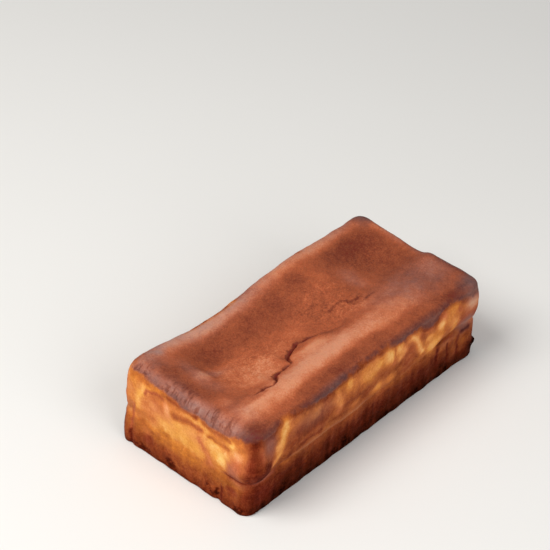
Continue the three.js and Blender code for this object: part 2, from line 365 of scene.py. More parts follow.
def side_stand(face, x, y, z):
    """How far a side stands out: ledge, crease, pleat, belly and folds."""
    a = face["place"](x, y)
    crease = face["crease"](a)
    height = face["height"](a)
    stand = crease * LEDGE_DEPTH * smooth(height - 1, height + LEDGE_REACH, z)
    stand *= 1 - LEDGE_FADE * smooth(LEDGE_FADE_FROM, RIM_HEIGHT, z)
    stand -= crease * CREASE_DEPTH * bell(z - height, CREASE_HALF_HEIGHT)
    stand += face["pleat"](a) * PLEAT_RISE * bell(z - PLEAT_HEIGHT, PLEAT_HALF_HEIGHT)
    stand += face["belly"] * BELLY_DEPTH * bell(z - BELLY_HEIGHT, BELLY_REACH)
    fade_low, fade_high = FOLD_FADE
    lower = 1 - smooth(height + fade_low, height + fade_high, z)
    stand += lower * FOLD_DEPTH * waves(a, FOLD_WAVE, face["phase"])
    leaning = waves(a + UPPER_FOLD_LEAN * z, UPPER_FOLD_WAVE, face["phase"] + 2)
    stand += (1 - lower) * UPPER_FOLD_DEPTH * leaning
    return stand


def corner_stand(x, y, z):
    stand = np.zeros(len(x))
    for corner_x, corner_y, height, tall, reach, depth in CORNER_FORMS:
        away = np.hypot(x - corner_x * HALF_X, y - corner_y * HALF_Y)
        stand += depth * bell(z - height, tall) * bell(away, reach)
    return stand


def upright_stand(x, y, z):
    stand = np.zeros(len(x))
    for place, top, depth in UPRIGHT_CREASES:
        stand -= depth * bell(y - place, UPRIGHT_HALF_WIDTH) * (1 - smooth(top - UPRIGHT_FADE, top, z))
    return np.where(x > -HALF_X + CORNER_ROUND, 0, stand)


# ---- From a plain box to the loaf ----
def rim_round(px, py):
    """The rim's rounding radius near each side, blended at the corners."""
    room = {"left": px + HALF_X, "right": HALF_X - px, "front": py + HALF_Y, "back": HALF_Y - py}
    nearness = {side: np.clip(1 - gap / CORNER_ROUND, 0, 1) for side, gap in room.items()}
    total = sum(nearness.values())
    mixed = sum(nearness[side] * RIM_ROUND[side] for side in RIM_ROUND)
    return np.where(total > 0, mixed / np.maximum(total, 1e-9), 0)


def round_rim(px, py, pz):
    """Box points with the rim rounded: x, y, z and the inset from the sides."""
    depth = np.minimum(HALF_X - np.abs(px), HALF_Y - np.abs(py))
    below = RIM_HEIGHT - pz
    round_here = rim_round(px, py)
    rounded = (depth < round_here) & (below < round_here)
    a = np.where(rounded, round_here - depth, 1)
    b = np.where(rounded, round_here - below, 1)
    squeeze = np.maximum(a, b) / np.hypot(a, b)
    inset = np.where(rounded, round_here - a * squeeze, depth)
    drop = np.where(rounded, round_here - b * squeeze, below)
    x = px * (HALF_X - inset) / np.maximum(HALF_X - depth, 1e-9)
    y = py * (HALF_Y - inset) / np.maximum(HALF_Y - depth, 1e-9)
    return x, y, RIM_HEIGHT - drop, inset


def round_corners(x, y):
    """Points with the upright corners rounded: x, y and the direction that faces out."""
    over_x = np.abs(x) - (HALF_X - CORNER_ROUND)
    over_y = np.abs(y) - (HALF_Y - CORNER_ROUND)
    corner = (over_x > 0) & (over_y > 0)
    length = np.where(corner, np.hypot(over_x, over_y), 1)
    tighten = np.where(corner, np.maximum(over_x, over_y) / length, 1)
    side_x, side_y = np.sign(x), np.sign(y)
    x = np.where(corner, side_x * (HALF_X - CORNER_ROUND + over_x * tighten), x)
    y = np.where(corner, side_y * (HALF_Y - CORNER_ROUND + over_y * tighten), y)
    out_x = np.where(corner, side_x * over_x / length, np.where(over_x >= over_y, side_x, 0))
    out_y = np.where(corner, side_y * over_y / length, np.where(over_x >= over_y, 0, side_y))
    return x, y, out_x, out_y


def loaf(px, py, pz):
    """Points of a plain box moved to the loaf's skin, how much each faces each side, its inset and its level.

    The level is the height before the uneven rim lifts it.
    """
    x, y, z, inset = round_rim(px, py, pz)
    x, y, out_x, out_y = round_corners(x, y)
    stand = corner_stand(x, y, z) + upright_stand(x, y, z)
    shares = {}
    for name, face in FACES.items():
        shares[name] = np.maximum(0, out_x * face["out"][0] + out_y * face["out"][1]) ** 2
        stand += shares[name] * side_stand(face, x, y, z)
    in_base = np.clip(BASE_ROUND - z, 0, BASE_ROUND)
    stand -= BASE_ROUND - np.sqrt(BASE_ROUND**2 - in_base**2)
    stand *= 1 - smooth(0, CORNER_ROUND, inset)
    groove = FRONT_GROOVE_DEPTH * bell(z - FRONT_GROOVE_HEIGHT, FRONT_GROOVE_HALF_HEIGHT)
    stand -= groove * np.maximum(0, -out_y) * (1 - smooth(0, FRONT_GROOVE_INSET, inset))

    shrink = 1 - TAPER * z / RIM_HEIGHT
    x = x * shrink + stand * out_x
    y = y * shrink + stand * out_y
    lifted = z + top_rise(x, y) * smooth(LIFT_FROM, 1, z / RIM_HEIGHT)
    return np.stack([x, y, lifted], axis=1), shares, inset, z


def spread(low, high, cells, closer):
    """Grid places from low to high, closer together where the list says so."""
    fine = np.linspace(low, high, 4001)
    middles = (fine[1:] + fine[:-1]) / 2
    weight = 1 + sum(much * bell(middles - place, reach) for place, reach, much in closer)
    summed = np.concatenate([[0], np.cumsum(weight)])
    return np.interp(np.linspace(0, summed[-1], cells + 1), summed, fine)


def follow_crack(x, y):
    """Bends the rows near the crack so that they run along it."""
    shift = crack_line(x) - CRACK_ROW_Y
    across = 1 - smooth(0, 1, np.abs(y - CRACK_ROW_Y) / CRACK_ROW_REACH)
    return y + shift * across * smooth(0, CRACK_ROW_END, HALF_X - np.abs(x))


def loaf_mesh():
    """Box points and quads of a ring of walls with a gridded top, open below, and the ring's point count."""
    xs = spread(-HALF_X, HALF_X, CELLS_X, CLOSER_X)
    ys = spread(-HALF_Y, HALF_Y, CELLS_Y, CLOSER_Y)
    zs = spread(0, RIM_HEIGHT, CELLS_Z, CLOSER_Z)
    nx, ny, nz = CELLS_X, CELLS_Y, CELLS_Z
    ring = [(i, 0) for i in range(nx)] + [(nx, j) for j in range(ny)]
    ring += [(i, ny) for i in range(nx, 0, -1)] + [(0, j) for j in range(ny, 0, -1)]
    ring = np.array(ring)
    around = len(ring)

    wall_x = np.tile(xs[ring[:, 0]], nz + 1)
    wall_y = np.tile(ys[ring[:, 1]], nz + 1)
    wall_z = np.repeat(zs, around)
    inner_i, inner_j = (g.ravel() for g in np.meshgrid(np.arange(1, nx), np.arange(1, ny), indexing="ij"))
    inner_x = xs[inner_i]
    inner_y = follow_crack(inner_x, ys[inner_j])
    px = np.concatenate([wall_x, inner_x])
    py = np.concatenate([wall_y, inner_y])
    pz = np.concatenate([wall_z, np.full(len(inner_x), float(RIM_HEIGHT))])

    index = np.full((nx + 1, ny + 1), -1)
    index[ring[:, 0], ring[:, 1]] = nz * around + np.arange(around)
    index[inner_i, inner_j] = (nz + 1) * around + np.arange(len(inner_x))
    k, n = (g.ravel() for g in np.meshgrid(np.arange(nz), np.arange(around), indexing="ij"))
    a = k * around + n
    b = k * around + (n + 1) % around
    walls = np.stack([a, b, b + around, a + around], axis=1)
    top = np.stack([index[:-1, :-1], index[1:, :-1], index[1:, 1:], index[:-1, 1:]], axis=-1).reshape(-1, 4)
    quads = np.concatenate([walls, top])
    return px, py, pz, quads, around


# ---- Browning: how each side looks, by place along it and height, in millimetres ----
# Baked tone runs from 0, scorched, through brown and caramel, to 1, pale yellow custard.
# Rosy runs from 0, golden, to 1, pinkish red, at the same tone.
# A patch: middle along, height, reach along, reach up, tilt in degrees, tone, rosy.
# A streak: its points, half width, tone, rosy. Bloom spots, with painted highlight and sheen, and burnt
# spots, with painted shade along the front's foot: middle, reach, share.
# The skin's edge is the height where the top skin begins, and the blur is how softly it does.
LEFT_PATCHES = [
    (2, 15, 18, 4, 0, 0.56, 0),
    (20, 20, 3, 2.4, 0, 0.74, 0.1),
    (12, 20.6, 3.4, 3.4, 0, 0.54, 0),
    (12, 32.4, 3, 2, 0, 0.76, 0.5),
    (-35, 38, 3, 2, 0, 0.76, 0.5),
    (18, 30.5, 11, 7, 0, 0.63, 0.8),
    (4, 24, 18, 6, -4, 0.77, 0.1),
    (0, 29, 12, 5.5, -12, 0.79, 0.2),
    (-6, 23, 7, 4, 0, 0.77, 0),
    (13, 25, 8, 3.2, -20, 0.81, 0.1),
    (24, 23.5, 7, 5, 0, 0.63, 0.5),
    (-21, 31, 9.5, 5, 0, 0.82, 0.1),
    (-22, 26, 5, 6, 12, 0.82, 0),
    (-24, 28, 3.0, 4.2, 0, 0.95, 0),
    (-12, 30.5, 3.4, 3.6, 0, 0.84, 0.2),
    (-20, 33, 3.6, 1.8, 0, 0.88, 0.1),
    (-12, 36, 4, 2.2, 20, 0.8, 0.1),
    (-9.5, 40.8, 2.6, 1.0, 0, 0.84, 0.1),
    (-29.6, 37, 5, 3.2, -40, 0.73, 0.2),
    (-30, 41.4, 3, 2, 0, 0.92, 0),
    (-35, 42, 3.6, 3.2, 0, 0.6, 0.4),
    (-6, 32, 4, 3, 0, 0.77, 0.3),
    # Painted highlight on the moist custard.
    (-34.2, 36.4, 2.8, 3.5, 0, 0.91, 0.8),
    (-33, 29, 4.5, 6.5, 0, 0.57, 1),
    (-32.5, 22.4, 4.0, 2.3, 0, 0.4, 1),
    (-42, 38, 3, 11, 0, 0.26, 1),
    (-40.5, 22, 3.5, 6, 0, 0.24, 0.9),
    (-32, 18.6, 5, 1.5, 0, 0.62, 0.9),
    (-40, 11, 4.5, 8, 0, 0.26, 1),
    # Peach custard with a painted soft highlight.
    (39, 35, 4.5, 9, 0, 0.8, 0.6),
    (35.4, 24.5, 4, 3.2, 0, 0.6, 0.2),
    (35, 19, 4, 2.4, 0, 0.78, 0.4),
    (33, 40.6, 6, 2.2, 0, 0.68, 0.3),
    (32, 15.4, 8, 2.6, 0, 0.52, 0.1),
    (24, 15, 4, 3, 0, 0.55, 0.4),
    # Painted highlight on the moist custard.
    (12.7, 35.6, 2, 3, 20, 0.84, 1),
    (-20, 21.6, 6, 3.6, 0, 0.61, 0.3),
    (-7, 38.8, 10, 2.0, 3, 0.83, 0.2),
    (-16, 32.6, 4, 2.4, -30, 0.84, 0.1),
    # Painted highlight on the moist custard.
    (23, 33, 3.5, 2.4, -10, 0.7, 0.6),
    (22.5, 10, 3.5, 3.5, 0, 0.34, 0.9),
    (-30, 11.4, 3.4, 2.6, 0, 0.3, 0.8),
    (5, 35, 4.4, 2.2, 0, 0.48, 0.3),
    (12, 19.4, 2.6, 2.2, 0, 0.48, 0),
    (-15.6, 18.6, 3, 2.2, 0, 0.5, 0.4),
    (3, 4.6, 3, 2.4, 0, 0.42, 0.3),
    (-27, 32.8, 2.4, 1.6, 0, 0.86, 0.2),
    (21, 36.6, 3, 1.6, 0, 0.55, 0.7),
]
LEFT_PAINT = {
    "skin_edge": [
        (-41, 45), (-37.5, 45.4), (-34.5, 45.2), (-31, 44.4), (-26, 42.6), (-20, 41.5), (-14, 41.2),
        (-8, 42.2), (0, 42.2), (8, 43.2), (20, 44), (30, 44.8), (41, 45),
    ],
    "edge_blur": 0.8,
    "by_height": [
        (0, 0.18), (2.5, 0.27), (8, 0.37), (14, 0.44), (19, 0.51), (25, 0.59), (36, 0.63), (42, 0.59),
    ],
    "rosy": [(0, 0.5), (9, 0.4), (14, 0.1), (21, 0.3), (30, 0.6), (38, 0.4), (44, 0.3)],
    "patches": LEFT_PATCHES,
    "streaks": [
        ([(18, 42.6), (22, 41.8), (26, 39.8)], 1.7, 0.72, 0.1),
        ([(27, 39), (29, 36), (30.5, 31), (30.6, 27.4)], 2.4, 0.84, 0.1),
        ([(27, 36.5), (25, 38.8), (21, 39.4), (15, 39.6)], 0.9, 0.5, 0.9),
        ([(12, 42), (6, 41.4), (0, 41), (-6, 41.2)], 1.1, 0.48, 0.5),
        ([(7.4, 34.8), (3, 35.2), (-2, 35.8), (-9, 36.6)], 1.6, 0.47, 0.6),
        ([(-14, 35.4), (-20, 36), (-28, 36.8)], 1.0, 0.51, 0.3),
        ([(-10, 40.8), (-20, 40.8), (-29, 41.8)], 1.0, 0.55, 0.4),
        ([(-9, 31), (-12, 27.6), (-15, 24), (-17.5, 19.6)], 1.8, 0.64, 0.8),
        ([(34.5, 0), (34, 10)], 1.0, 0.14, 1),
        ([(34, 10), (33.6, 26)], 0.8, 0.5, 0.9),
        ([(-24.5, 0), (-24.3, 10)], 0.7, 0.2, 1),
        # Painted shade along the crease's fold on the left end, near the front corner.
        ([(-27, 20.6), (-33, 19.9), (-41, 19.9)], 1.5, 0.24, 1),
    ],
    "bloom_and_sheen": [(-32, 25, 4, 6, 0.3), (-33, 17, 5, 2, 0.2), (37, 23, 3, 4, 0.25)],
    "burnt_and_shade": [
        (8.6, 4, 4.4, 2.8, 0.8),
        (-19.6, 5, 5.6, 3.6, 0.95),
        (27, 2.5, 9, 2.5, 0.6),
        (-36, 2, 6, 3, 0.8),
    ],
}
FRONT_PATCHES = [
    (-50, 32, 12, 5, 0, 0.33, 0.5),
    (-46, 28, 14, 3, 0, 0.38, 0.4),
    (-57, 42, 4, 3.6, 0, 0.56, 0.5),
    (-49, 42.4, 3.5, 4, 0, 0.52, 0.5),
    (-42.5, 41.5, 4, 4, 0, 0.6, 0.4),
    (-12, 40, 17, 6, 0, 0.54, 0.3),
    (3, 40, 14, 6, 0, 0.6, 0.3),
    (-26.6, 37, 3.2, 7.4, -8, 0.67, 0.5),
    (-18.5, 41.5, 3.6, 3.6, 0, 0.72, 0.2),
    (-4, 40, 5.4, 5, 10, 0.69, 0.2),
    (3.4, 41, 5.4, 2.8, 0, 0.75, 0.3),
    (12, 41, 3.8, 6.5, -18, 0.87, 0.3),
    (20, 41, 4.8, 3, 0, 0.86, 0.4),
    (24, 37.5, 2.4, 2.8, 0, 0.81, 0.5),
    (-14, 26.8, 3.4, 2, 0, 0.55, 0.3),
    (9, 25, 11, 4, 0, 0.53, 0.2),
    (4.5, 26, 3.4, 3, 0, 0.7, 0.3),
    (13, 25.6, 4, 3, 0, 0.6, 0.2),
    (29, 31, 4, 7, 0, 0.44, 0.7),
    (36, 42.5, 2.6, 2.8, 0, 0.6, 0.4),
    (44, 40, 5, 2.2, 0, 0.56, 0.6),
    (49, 30, 8, 7, 0, 0.62, 0.2),
    (48, 28, 6.2, 4.4, -25, 0.74, 0.2),
    (54.8, 24.6, 3.2, 2.6, 0, 0.2, 0.2),
    (36, 23, 4, 3, 0, 0.46, 0.2),
    (30, 24, 3, 3, 0, 0.36, 0.4),
    (47.5, 27, 4, 3.4, 0, 0.85, 0.2),
    (44, 34.5, 3, 2.6, 0, 0.76, 0.4),
    (48, 38, 3.4, 2.4, 0, 0.55, 0.5),
    (54, 41.6, 4, 3.4, 0, 0.68, 1),
    (52.4, 37.8, 3.1, 3.1, 0, 0.91, 0.4),
    (59, 39, 3.6, 6, 0, 0.68, 0.3),
    (64, 42, 4.4, 3.6, 0, 0.74, 0.3),
    (64, 32.6, 4.8, 5.2, 0, 0.72, 0.4),
    (78, 39.6, 6.4, 4.6, 0, 0.98, 0.9),
    (75.4, 31.4, 7.4, 5.2, 0, 0.46, 0.9),
    (77, 26, 8, 3.2, 0, 0.66, 0.9),
    (-81, 37, 2.2, 6, 0, 0.46, 0.9),
    (-75.5, 40, 3.6, 6, 0, 0.48, 0.9),
    (-78, 28, 5, 4, 0, 0.17, 0.8),
    # Painted shade in the crease at the left front corner.
    (-83, 22.6, 7, 3.2, 0, 0.02, 0.9),
    (-72.4, 28, 3.0, 3.0, 0, 0.7, 0.4),
    (-87, 35, 4.5, 10, 0, 0.29, 1),
    (-86, 27, 4.4, 5.4, 0, 0.16, 0.9),
    (-86.5, 44, 4.6, 4, 0, 0.2, 0.9),
    (-79, 11, 10, 8, 0, 0.19, 1),
    (60, 20.6, 7, 3, 0, 0.5, 0.3),
    (72, 21, 6, 3, 0, 0.44, 0.5),
    (72, 13.5, 13, 7, 0, 0.34, 0.2),
    (14, 21, 4, 2.4, 0, 0.48, 0.2),
    (67.4, 39.6, 2.2, 2.4, 0, 0.52, 0.8),
    (27, 41.6, 2.6, 2.6, 0, 0.66, 0.4),
    (21, 36, 2.8, 2.6, 0, 0.74, 0.4),
    (50.4, 8.6, 3.6, 4.6, 0, 0.21, 0.3),
    (75, 2.6, 8, 2.8, 0, 0.15, 0.3),
    (-27.6, 30, 2.4, 3, 0, 0.54, 0.5),
    (-69.8, 36, 2.2, 2.6, 0, 0.64, 0.4),
    (-81, 1.6, 6, 2.6, 0, 0.03, 0.5),
]
FRONT_PAINT = {
    "skin_edge": [
        (-88, 46), (-83, 46), (-78, 45), (-73, 45), (-67, 48), (-60, 48.4), (-54, 47.2), (-46, 46),
        (-36, 44.6), (-30, 45), (-22, 47), (-8, 47.6), (10, 47.6), (16, 46.2), (24, 44.2), (31, 45.4),
        (36, 45.4), (40, 42.8), (46, 41.6), (50, 42.6), (54, 45.6), (61, 47), (67, 45), (74, 43.2),
        (80, 42), (88, 41.6),
    ],
    "edge_blur": 1.5,
    # Darker towards the foot: baked browning together with painted shade low on the front.
    "by_height": [
        (0, 0.03), (4, 0.08), (9, 0.15), (14, 0.225), (19, 0.33), (24, 0.37), (32, 0.4), (40, 0.455),
        (46, 0.5),
    ],
    "rosy": [(0, 0.4), (12, 0.5), (20, 0.3), (30, 0.4), (46, 0.5)],
    "patches": FRONT_PATCHES,
    "streaks": [
        ([(-62.8, 46), (-66.3, 40), (-68.5, 35)], 2.8, 0.84, 0.3),
        ([(-68.6, 33), (-68.3, 29.8)], 2.6, 0.74, 0.3),
        ([(31, 41.6), (33.5, 39), (36, 33.5), (39, 28)], 2.3, 0.86, 0.4),
        # A painted highlight on the lit side of the fold at the left front corner.
        ([(-86, 18.4), (-78, 19.2), (-71, 20)], 1.0, 0.4, 0.9),
        ([(-66, 20.4), (-60, 20)], 1.2, 0.48, 0.4),
        ([(-62, 24.6), (-54, 25.2), (-46, 25.4), (-38, 25.8)], 1.1, 0.26, 0.6),
        # Painted shade in the crease near the right end.
        ([(58, 23), (61, 23.4), (65, 22.6)], 0.8, 0.36, 0.8),
        ([(72.4, 21.3), (79, 21.8)], 1.2, 0.11, 1),
        ([(53.5, 21), (54.5, 8)], 1.2, 0.15, 1),
        ([(62, 19), (62.5, 6)], 0.9, 0.16, 0.8),
        ([(70, 20), (70, 8)], 0.8, 0.19, 0.8),
        ([(16.5, 42), (16.5, 34)], 0.8, 0.55, 0.5),
    ],
    "bloom_and_sheen": [
        (75.5, 26.8, 7, 6, 0.92),
        # A painted highlight band at the rim's right corner.
        (79, 42, 8, 7, 0.68),
        # A painted highlight along the fold at the left front corner.
        (-78, 19.8, 7, 1.6, 0.45),
        (-75.5, 40.4, 4, 6.2, 0.6),
        (-44, 38, 15, 6, 0.3),
        (60, 21, 5, 2, 0.2),
    ],
    # A dark band along the foot: burnt crust together with painted shade.
    "burnt_and_shade": [(-30, 1, 40, 2.2, 0.8), (40, 1, 40, 2.2, 0.8)],
}

# The two sides that the photograph hides repeat the browning of the shown ones, turned round and moved along.
# With it they repeat the painted shade at the front's foot, the painted crease shade and the painted
# highlights and sheen.
BACK_PAINT = {**FRONT_PAINT, "turn": -1, "move": 24}
RIGHT_PAINT = {**LEFT_PAINT, "turn": 1, "move": -3}
PAINTS = {"front": FRONT_PAINT, "left": LEFT_PAINT, "back": BACK_PAINT, "right": RIGHT_PAINT}

# Tone of the top skin, from 0, darkest brown, to 1, light orange brown.
# A patch: middle x, y, reach x, y, tilt in degrees, tone. A streak: its points, half width, tone.
TOP_TONE = 0.45
# The patches paint the baked browning together with painted sheen on the ridge and the far rim, and painted
# shade in hollows and on slopes turned from the light.
TOP_PATCHES = [
    (-12, 22, 28, 10, 0, 0.33),
    (-10, 4, 14, 6, 0, 0.58),
    (62, -8, 18, 10, 0, 0.4),
    (24, 16, 10, 16, 0, 0.55),
    (58, 24, 19, 12, 0, 0.22),
    (66, 10, 14, 8, 0, 0.36),
    (-44, -3, 20, 12, 0, 0.76),
    (-46, -9, 10, 5, 0, 0.84),
    # Painted shade in the pit's hollow.
    (-41, 23, 16, 6, -3, 0.37),
    (-42, 29.5, 17, 3.4, 0, 0.46),
    # Painted sheen along the far rim.
    (-40, 36, 44, 6, 0, 0.98),
    (36, 37, 44, 6, 0, 0.86),
    (-68, 8, 4, 12, 0, 0.6),
    # Painted highlight on the ridge.
    (-68, -25, 13, 6, 0, 0.98),
    (-58, -31, 14, 4.4, 0, 0.86),
    (-70, -31, 6, 4, 0, 0.92),
    (28, -31, 25, 4.6, 0, 0.8),
    (-6, -31, 12, 3.6, 0, 0.58),
    # Painted highlight along the ridge and on its slope down to the crack.
    (-20, -23.5, 56, 6.4, 0, 1.0),
    (-16, -14.5, 12, 5, 0, 0.97),
    (30, -23, 22, 7, 0, 0.8),
    (46, -14, 14, 6, 0, 0.6),
    (27, -12, 9, 3.4, 0, 0.7),
    (-27, -2, 9, 4, 0, 0.7),
    (42, 6, 7, 10, 0, 0.62),
    (8, 11, 6, 4, 0, 0.54),
    (76, -17, 8, 10, 0, 0.62),
    (71, -1, 7, 8, 0, 0.33),
    (-82, -22, 6, 7, 0, 0.62),
    (15.5, 24.5, 7, 5.5, 0, 0.34),
    (-49, 9, 11, 4.6, 0, 0.72),
    (-10, -34, 62, 4, 0, 0.42),
    (-20, -35.5, 18, 3, 0, 0.32),
    (50, -35, 34, 4, 0, 0.46),
    (70, -38.4, 13, 4.6, 0, 0.16),
    (18, -5, 15, 6.5, 0, 0.55),
    (83, 20, 4, 14, 0, 0.7),
    # Painted shade on the left rim's inner slope, turned away from the light.
    (-77, 21, 4, 7, 0, 0.36),
    (-77, -6, 5, 9, -15, 0.4),
    (-28, 28, 14, 2.8, 0, 0.44),
    (-81, 28, 4, 4.6, 0, 0.6),
    (-64, -20.4, 10, 2.8, 0, 0.62),
    (-75, -12, 4, 4.2, 0, 0.68),
    (-65, 9, 4, 4, 0, 0.86),
    # Painted highlight on the ridge.
    (-45, -27.6, 8, 3, 0, 0.98),
    (-36, -3, 5, 3.2, 0, 0.84),
    (10, -27, 9, 3, 0, 0.9),
]
TOP_STREAKS = [
    # Painted shade on the left rim's inner slope.
    ([(-78, 14), (-78, 2)], 3.0, 0.4),
    ([(12, -2), (20, -1), (24, -3)], 0.9, 0.2),
    ([(23, -5), (29, -5.5)], 0.9, 0.2),
    ([(31, -9.5), (38, -9)], 0.8, 0.3),
    ([(-4, -11), (0, -13), (6, -13.6), (12, -12.6)], 1.1, 0.36),
]
# The greyish, purple-brown bloom along the rims, the burnt rims' own colour together with painted sheen:
# middle x, y, reach x, y, share. Then its tone there.
BLOOM_AND_SHEEN_PATCHES = [
    (-87, 0, 7, 48, 0.78),
    (0, -41, 95, 2.8, 0.52),
    (-22, -40.8, 32, 2.8, 0.74),
    (41, 6, 6, 9, 0.3),
    (-68, 10, 5, 14, 0.45),
    (-60, 9, 9, 3, 0.4),
    (-76, -24, 8, 12, 0.25),
    (-38, 39, 52, 7.6, 0.75),
    (-70, 37, 11, 5, 0.85),
    (50, 40, 50, 6, 0.45),
    (-80, 34, 12, 10, 0.5),
    (84, 37, 8, 7, 0.85),
    (87, -12, 5, 30, 0.6),
    (88, -17, 4.4, 13, 0.8),
    (85, 16, 4, 16, 0.4),
    (84, -38, 14, 7, 0.85),
    (62, -18, 32, 12, 0.5),
    (-18, -22, 50, 6, 0.18),
]
BLOOM_AND_SHEEN_TONE = [
    (86, 38, 8, 7, 0.2),
    (86, -30, 6, 16, 0.3),
    (88, -18, 4.4, 13, 0.1),
    (77, -41, 7, 2.6, 0.52),
    (-86.5, 0, 5.4, 48, 0.69),
    (-87, 5, 3.6, 6, 0.52),
    (-79.5, 6, 2.8, 9, 0.28),
    (0, -40.3, 95, 2.5, 0.26),
    (-82, -38, 9, 6, 0.18),
]
# Painted shade in the pit at the top's left end: its sharp lower edge, its middle x and y, reach x and y, and
# tone.
PIT_EDGE = [(-64, 34), (-61.5, 28), (-58.5, 21), (-54.5, 16), (-50, 14), (-45.5, 14.4), (-40, 17)]
PIT_SHADE = (-49, 22, 12, 8, 0.33)
# How coarse the top's speckle is: middle x, y, reach x, y, share.
GRAIN_BASE = 0.6
GRAIN_PATCHES = [(-40, 2, 34, 18, 1.0), (14, 4, 26, 20, 1.0), (18, -6, 18, 8, 1.3), (60, 14, 24, 18, 0.8)]


# ---- Browning: how it is worked out ----
# Random fields, each as strength, lump size in millimetres (one, or along x, y and z) and seed.
# The first five are each side's own: their seeds count up from the side's first seed.
SIDE_WANDER_ALONG = [(1.1, 9, 0), (0.5, 2.5, 1)]
SIDE_WANDER_UP = [(0.9, 8, 2), (0.5, 2.5, 3)]
EDGE_WANDER = [(0.7, 3, 4)]
EDGE_TEETH = [(0.4, 1.3, 5)]
CRUMBS = [(1, 1.5, 6)]
SIDE_BANDS = [(0.025, (14, 14, 2.2), 61)]
SIDE_UPRIGHTS = [(1, (2.4, 2.4, 13), 62)]
SIDE_SPOTS = [(0.045, 3.5, 63)]
SIDE_ROSY = [(0.20, 5, 66)]
PATCH_WANDER_X = [(2.0, 14, 71)]
PATCH_WANDER_Y = [(1.2, 10, 72)]
TOP_SPOTS = [(0.06, 9, 73)]
TOP_SPECKLE = [(0.10, 2.4, 74)]
BLOOM_AND_SHEEN_SPOTS = [(0.35, 3.5, 75)]
STREAK_WANDER_X = [(0.8, 3, 76)]
STREAK_WANDER_Y = [(0.8, 3, 77)]
PIT_WANDER = [(0.5, 3, 78)]
WRINKLE_GAPS = [(1, 6, 89)]
CRACK_SHADE_JAG = [(1.6, 1.8, 90)]
SIDE_FIRST_SEED = 11
SIDE_SEED_STEP = 10

# The pale line along the pleat, a painted highlight on the raised seam's lit top.
PLEAT_HIGHLIGHT_DROP = 0.4
PLEAT_HIGHLIGHT_HALF_HEIGHT = 2.0
PLEAT_HIGHLIGHT_TONE = 0.52
PLEAT_HIGHLIGHT_ROSY = 0.1
PLEAT_HIGHLIGHT_SHEEN = 0.28
# The darker band of each side just below the top skin, and of the skin just above its edge.
BELOW_EDGE_SHADE = 0.11
BELOW_EDGE_DROP = 1.2
BELOW_EDGE_HALF_HEIGHT = 1.6
ABOVE_EDGE_SHADE = 0.12
ABOVE_EDGE_RISE = 0.8
ABOVE_EDGE_HALF_HEIGHT = 1.0
# The burnt spots, which along the front's foot also hold painted shade: their tone, how their crumbs gather
# in the middle, and the crumbs' soft edge.
BURNT_AND_SHADE_TONE = 0.04
CRUMB_GATHER = 0.9
CRUMB_EDGE = (0.4, 1.0)
# Upright streaks of the sides: their strength, what is added low down, and the heights where that fades.
UPRIGHTS = 0.025
LOW_UPRIGHTS = 0.03
LOW_UPRIGHTS_FADE = (14, 26)
# The skin covers everything further in from the side than this.
SKIN_INSET = (1.5, 4.0)
PIT_EDGE_BLUR = (-0.5, 1.0)
# The short lines over the left rim: their size, the soft edges of lines and gaps, and where they end.
WRINKLE_SHADE = 0.34
WRINKLE_SIZE = (4.5, 0.8, 4.5)
WRINKLE_EDGE = (0, 0.6)
WRINKLE_GAP_EDGE = (-0.9, 0.5)
WRINKLE_INSET = (2, 9)
# The painted shade in the crack: its width, what a tear adds, its soft edges, and the tear that makes it
# fully dark.
CRACK_SHADE_TONE = 0.12
CRACK_SHADE_WIDTH = 0.8
CRACK_SHADE_REACH = 2.0
CRACK_SHADE_NEAR_EDGE = (-0.7, 0.3)
CRACK_SHADE_FAR_EDGE = (-1.2, 0.9)
CRACK_SHADE_FULL = 0.35
SIDE_GRAIN = 0.35
# The dark flake at the right front foot: height, reach around, reach up and down, strength.
FLAKE = (7, 6, 2.8, 2)


